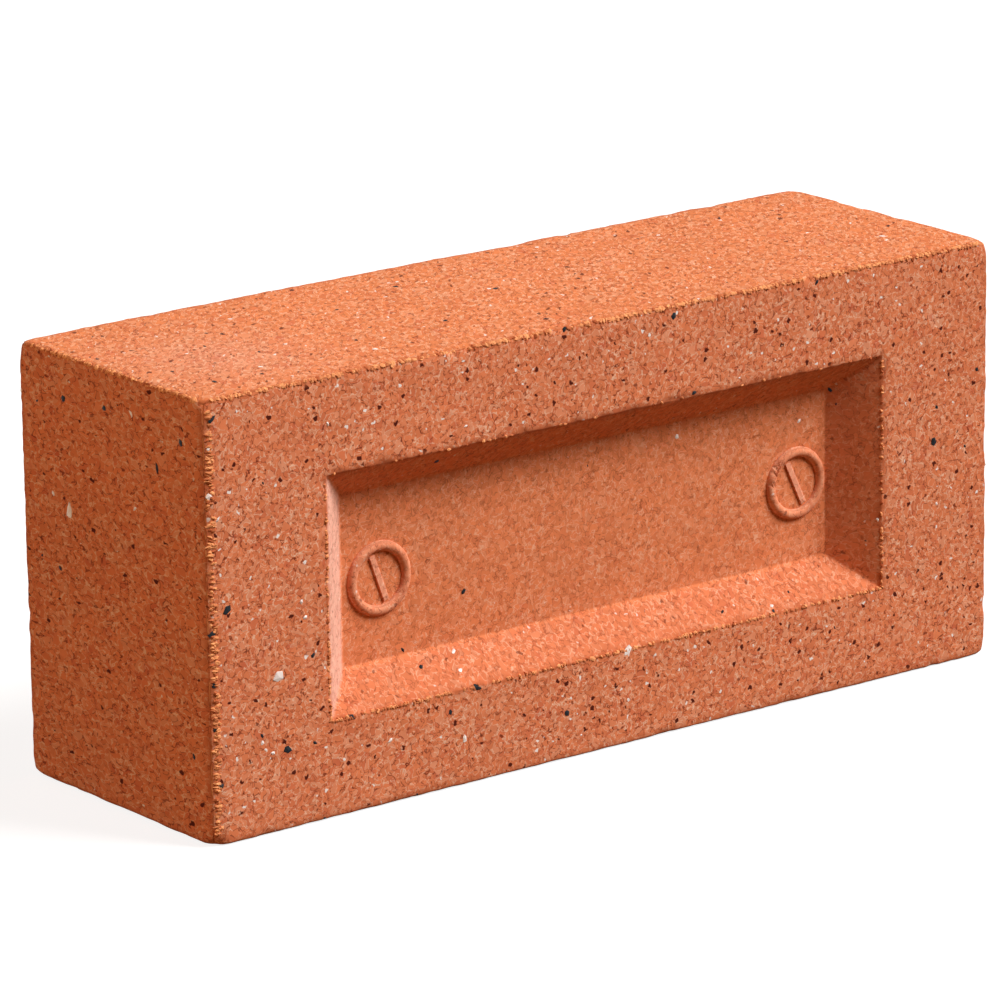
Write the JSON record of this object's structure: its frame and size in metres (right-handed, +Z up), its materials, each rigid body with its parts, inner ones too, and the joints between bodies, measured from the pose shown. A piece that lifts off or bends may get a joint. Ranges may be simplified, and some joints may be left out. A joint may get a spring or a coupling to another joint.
{
  "type": "clay brick",
  "caption": "Solid pressed clay brick with a shallow, slope-walled frog in one bed face, for laying in mortar in walls, hearths and paving.",
  "frame": {"origin": "middle of the long narrow side that the brick stands on", "axes": "+X along the length, +Y through the thickness from the frogged bed face to the plain one, +Z up the width"},
  "size_m": [0.24, 0.076, 0.108],
  "materials": {
    "fired_clay": "unglazed fired clay, matt and sandy, with small pale and dark grains"
  },
  "bodies": {
    "root": {"brick": "fired_clay"}
  },
  "joints": []
}
